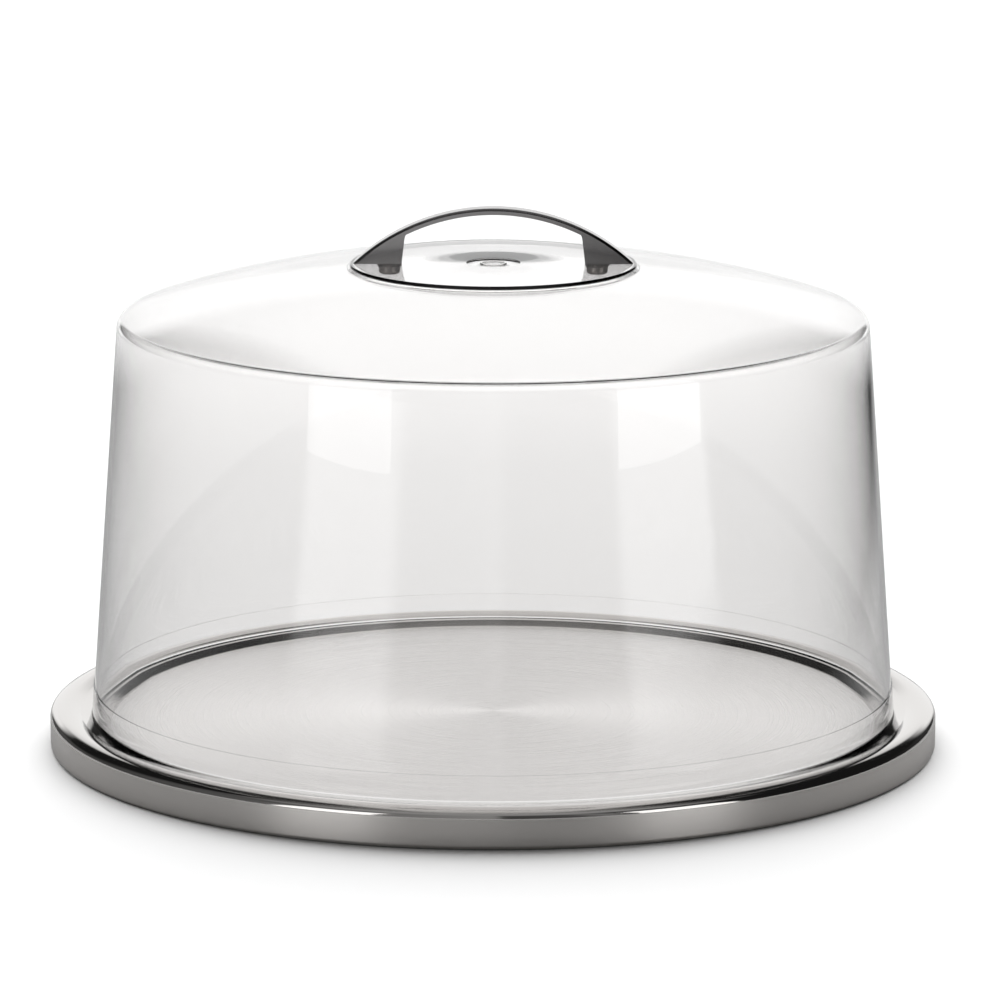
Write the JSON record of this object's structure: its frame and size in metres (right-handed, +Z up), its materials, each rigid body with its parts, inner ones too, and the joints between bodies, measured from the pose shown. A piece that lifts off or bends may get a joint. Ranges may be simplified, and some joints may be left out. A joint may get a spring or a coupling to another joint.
{
  "type": "covered cake plate",
  "caption": "Low round steel cake plate with a raised rim and a clear tapered dome cover that lifts off by an arched metal handle.",
  "frame": {"origin": "middle of the plate at the level of the table it stands on", "axes": "+Z up, the axis that the plate and the cover are turned about and the way the cover lifts off; X runs along the handle; -Y is the side seen from the front"},
  "size_m": [0.343, 0.343, 0.2091],
  "materials": {
    "plate_steel": "spun satin floor and skirt, polished rolled rim",
    "clear_cover": "clear, glossy, injection moulded",
    "handle_metal": "polished plated casting",
    "screw_steel": "zinc plated",
    "washer_steel": "zinc plated spring steel"
  },
  "bodies": {
    "plate": {"cake_plate": "plate_steel"},
    "cover": {"dome_cover": "clear_cover", "lift_handle": "handle_metal", "left_handle_screw": "screw_steel", "right_handle_screw": "screw_steel", "left_lock_washer": "washer_steel", "right_lock_washer": "washer_steel"}
  },
  "joints": [
    {"name": "cover_lift", "type": "slide", "parent": "plate", "child": "cover", "axis": [0, 0, 1], "range_m": [0, 0.2]}
  ]
}
